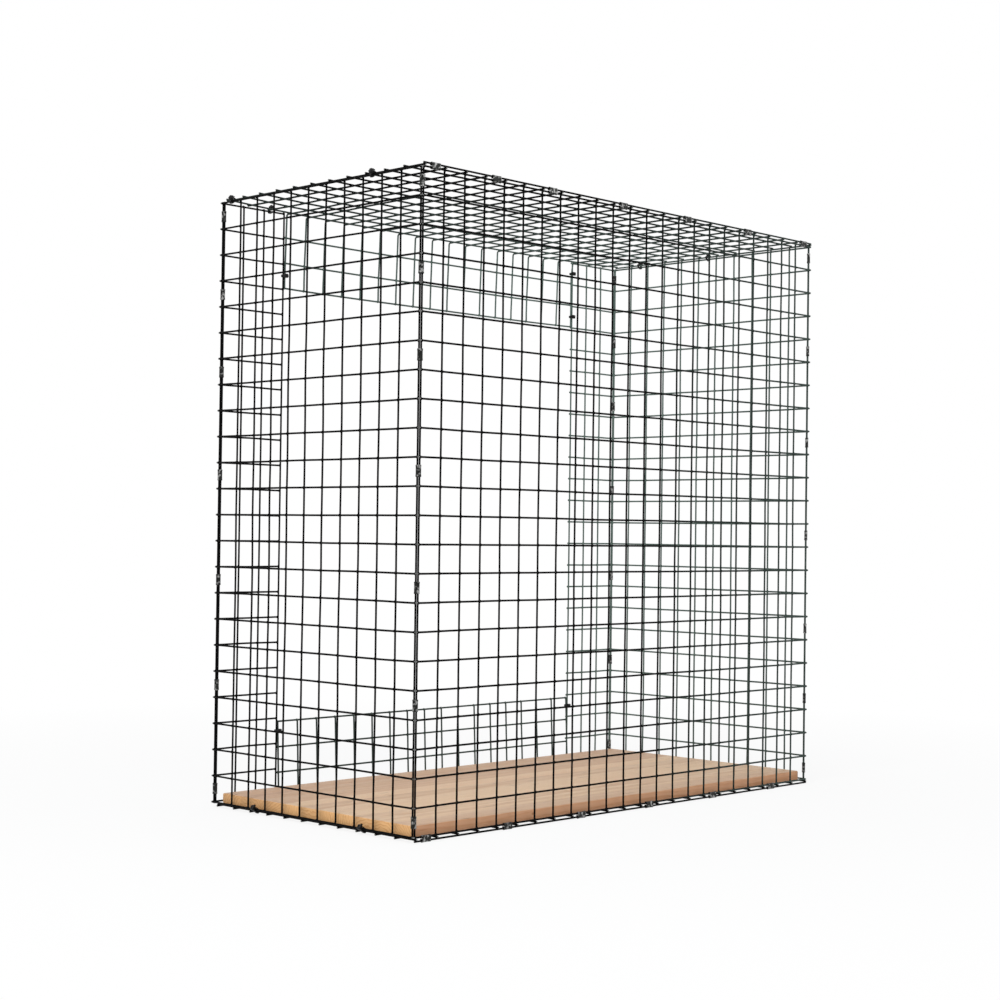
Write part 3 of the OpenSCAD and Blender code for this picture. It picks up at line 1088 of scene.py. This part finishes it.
def growth_rings(build, from_middle, pith, spacing, number):
    """How far into its year's ring each point lies, 0 to 1, in a log whose pith runs along X."""
    wander_length, wander_back, wander_up, roughness = 260, 14, 9, 2.2
    along, back, up = build.split(from_middle)
    seeded = build.maths("MULTIPLY_ADD", along, 1 / wander_length, number * 7.3)
    wander = build.noise(build.combined(seeded, 0, 0), 1.0, 1.5)["Color"]
    drift = build.split(build.vector_maths("SUBTRACT", wander, (0.5,) * 3))
    back = build.maths("ADD", build.maths("SUBTRACT", back, pith[0]),
                       build.maths("MULTIPLY", drift[0], wander_back))
    up = build.maths("ADD", build.maths("SUBTRACT", up, pith[1]),
                     build.maths("MULTIPLY", drift[1], wander_up))
    section = build.combined(build.maths("MULTIPLY", along, 0.012), back, up)
    rough = build.noise(section, 0.16, 2.0)["Fac"]
    radius = build.length(build.combined(0, back, up))
    uneven = build.maths("MULTIPLY_ADD", rough, roughness * spacing, radius)
    return build.maths("FRACT", build.maths("DIVIDE", uneven, spacing))


def ring_shade(build, phase):
    """Early wood darkens slowly to a thin line of late wood, and the next year starts pale."""
    made = build.add("ShaderNodeValToRGB", {"Fac": phase})
    ramp = made.color_ramp
    ramp.elements[0].color = (0.02, 0.02, 0.02, 1)
    ramp.elements[1].color = (0.10, 0.10, 0.10, 1)
    for position, value in ((0.45, 0.16), (0.74, 0.50), (0.87, 1.0), (0.93, 0.85)):
        ramp.elements.new(position).color = (value, value, value, 1)
    return made.outputs[0]


def pin_knot(build, from_middle, centre, radius):
    """1 in a small round knot, with its centre this far from the plank's middle."""
    away = build.vector_maths("SUBTRACT", from_middle, centre)
    flat = build.vector_maths("MULTIPLY", away, (0.8, 0.25, 1.0))
    return spread(build, build.length(flat), radius * 1.5, radius * 0.6)


def drawn_out(build, in_mm, stretch):
    """Points for a noise that is drawn out along a plank's fibres."""
    return build.vector_maths("MULTIPLY", in_mm, stretch)


def sawn_faces(build, wood, late):
    """The front and rear edges are redder than the planed top, and the end grain yellower."""
    facing = build.split(build.add("ShaderNodeTexCoord").outputs["Normal"])
    edge = spread(build, build.maths("ABSOLUTE", facing[1]), 0.5, 0.9, 0.0, 0.62)
    wood = blended(build, edge, wood, EDGE_RED)
    end_grain = spread(build, build.maths("ABSOLUTE", facing[0]), 0.5, 0.9, 0.0, 0.9)
    return blended(build, end_grain, wood, blended(build, late, END_EARLY, END_LATE))


def plank_wood(number, middle, pith, spacing, darkness, redness):
    """One plank's softwood: rings round its own pith, fibres along X, resin streaks, redder sawn
    edges and yellower end grain. The front plank has a pin knot in its front edge."""
    made, build, shader, place = new_material(f"plank_{number}_wood")
    in_mm = build.vector_maths("MULTIPLY", place, (METRE, METRE, METRE))
    from_middle = build.vector_maths("SUBTRACT", in_mm, tuple(middle))
    late = ring_shade(build, growth_rings(build, from_middle, pith, spacing, number))
    fibre = build.noise(drawn_out(build, in_mm, (0.018, 1.6, 1.6)), 1.0, 3.0, 0.6)["Fac"]
    cloud = build.noise(drawn_out(build, in_mm, (0.006, 0.06, 0.06)), 1.0, 2.0)["Fac"]
    streaks = build.vector_maths("ADD", drawn_out(build, in_mm, (0.03, 0.5, 0.5)),
                                 (number * 3.1, 0, 0))
    streak = build.noise(streaks, 1.0, 1.0)["Fac"]

    uneven = spread(build, cloud, 0.3, 0.7, -0.25, 0.25)
    red = build.clamped(build.maths("ADD", uneven, redness))
    early_wood = blended(build, red, EARLY_PALE, EARLY_RED)
    late_wood = blended(build, red, LATE_PALE, LATE_RED)
    share = build.maths("MULTIPLY", late, spread(build, fibre, 0.3, 0.7, 0.45, 0.95))
    wood = blended(build, share, early_wood, late_wood)
    wood = blended(build, spread(build, fibre, 0.46, 0.30, 0.0, 0.35), wood, LATE_RED)
    wood = blended(build, spread(build, streak, 0.70, 0.76, 0.0, 0.75), wood, PITCH_BROWN)
    if number == 1:
        knot = pin_knot(build, from_middle, (-136.0, -13.0, 0.6), 1.2)
        wood = blended(build, knot, wood, KNOT_BROWN)
    wood = sawn_faces(build, wood, late)

    relief = build.maths("ADD", fibre, build.maths("MULTIPLY", late, 0.6))
    build.feed(shader, {
        "Base Color": blended(build, darkness, wood, DARK_WOOD),
        "Roughness": spread(build, fibre, 0.3, 0.7, 0.62, 0.48),
        "Normal": bumped(build, relief, 0.06, 0.5),
        "Specular IOR Level": 0.4,
    })
    return made


# ---- Stage, light and camera ----

FLOOR_RADIUS = 9.0
LAMP_AIM = Vector((0, 0, 0.25))


def white_to_lens(build):
    """1 for what the camera sees, directly, mirrored or through glass."""
    path = build.add("ShaderNodeLightPath").outputs
    seen = build.maths("MAXIMUM", path["Is Camera Ray"], path["Is Glossy Ray"])
    return build.maths("MAXIMUM", seen, path["Is Transmission Ray"])


def pale_floor():
    """A pale floor that keeps a soft shadow and runs out into the white background."""
    shape = bmesh.new()
    bmesh.ops.create_circle(shape, cap_ends=True, radius=FLOOR_RADIUS, segments=96)
    mesh = bpy.data.meshes.new("floor")
    shape.to_mesh(mesh)
    shape.free()
    floor = new_object("floor", mesh)
    made = bpy.data.materials.new("pale_floor")
    build = emptied(made)
    away = build.length(build.add("ShaderNodeTexCoord").outputs["Object"])
    whiter = spread(build, away, 0.35, 1.1, 0.86, 1.0)
    share = build.maths("MULTIPLY", white_to_lens(build), whiter)
    matt = build.out("ShaderNodeBsdfDiffuse", {"Color": colour(0.86, 0.86, 0.86)})
    white = build.out("ShaderNodeEmission", {"Strength": 1.0})
    mixed = build.out("ShaderNodeMixShader", {0: share, 1: matt, 2: white})
    build.add("ShaderNodeOutputMaterial", {"Surface": mixed})
    mesh.materials.append(made)


def studio_world():
    world = bpy.data.worlds.new("studio")
    bpy.context.scene.world = world
    build = emptied(world)
    soft = build.out("ShaderNodeBackground", {"Color": colour(0.96, 0.98, 1.0), "Strength": 0.55})
    white = build.out("ShaderNodeBackground", {"Color": colour(1, 1, 1), "Strength": 1.0})
    mixed = build.out("ShaderNodeMixShader", {0: white_to_lens(build), 1: soft, 2: white})
    build.add("ShaderNodeOutputWorld", {"Surface": mixed})


def soft_box(name, place, size, watts):
    """A square lamp aimed at the middle of the cage."""
    light = bpy.data.lights.new(name, "AREA")
    light.size = size
    light.energy = watts
    lamp = new_object(name, light)
    lamp.location = place
    lamp.rotation_euler = (LAMP_AIM - Vector(place)).to_track_quat("-Z", "Y").to_euler()


def camera():
    """Where the photograph was taken from: eye level with the lower half of the cage."""
    focal_px, picture_px, sensor = 1835.9, 1000, 36
    lens = bpy.data.cameras.new("camera")
    lens.sensor_width = sensor
    lens.lens = focal_px / picture_px * sensor
    lens.clip_end = 30
    made = new_object("camera", lens)
    stand, yaw, pitch, roll = (-1.3892, -1.3032, 0.2694), 45.88, 1.05, 0.74
    made.matrix_world = (shift(*stand) @ turn(-yaw, "Z") @ turn(90 + pitch, "X")
                         @ turn(roll, "Z"))
    bpy.context.scene.camera = made


# ---- The catio ----

# Each coat's two numbers are its share of painted glare at the cage's left and right ends
BLACK_COAT = vinyl_coat("black_vinyl", -0.4, 0.0)
FRONT_COAT = vinyl_coat("black_vinyl_front", -0.25, 0.6)
ROOF_COAT = vinyl_coat("black_vinyl_roof", 0.0, 0.5)
GLARE_PALED_COAT = vinyl_coat("glare_paled_vinyl_right", 0.6, 0.8)
TOP_FLAP_COAT = vinyl_coat("glare_paled_vinyl_top_flap", 0.35, 0.8)
LOW_FLAP_COAT = vinyl_coat("glare_paled_vinyl_low_flap", 0.1, 0.3)
BARE_STEEL = bare_steel()
CLIP_STEEL = clip_steel()
TIE_NYLON = tie_nylon()
WELDED_MESH = welded_mesh_tree()
FASTENER_ROW = fastener_row_tree()

front_panel()
side_panels()
roof_and_base()
side_flanges()
top_and_low_flaps()
corner_clips()
front_edge_clips()
side_edge_ties()
seam_ties()
rear_top_tie()
floor_board()
clear_patterns()

pale_floor()
studio_world()
soft_box("key_light", (-1.7, -0.85, 1.95), 1.4, 38)
soft_box("fill_light", (1.6, -1.8, 1.4), 1.8, 12)
camera()
bpy.context.scene.view_settings.view_transform = "Standard"
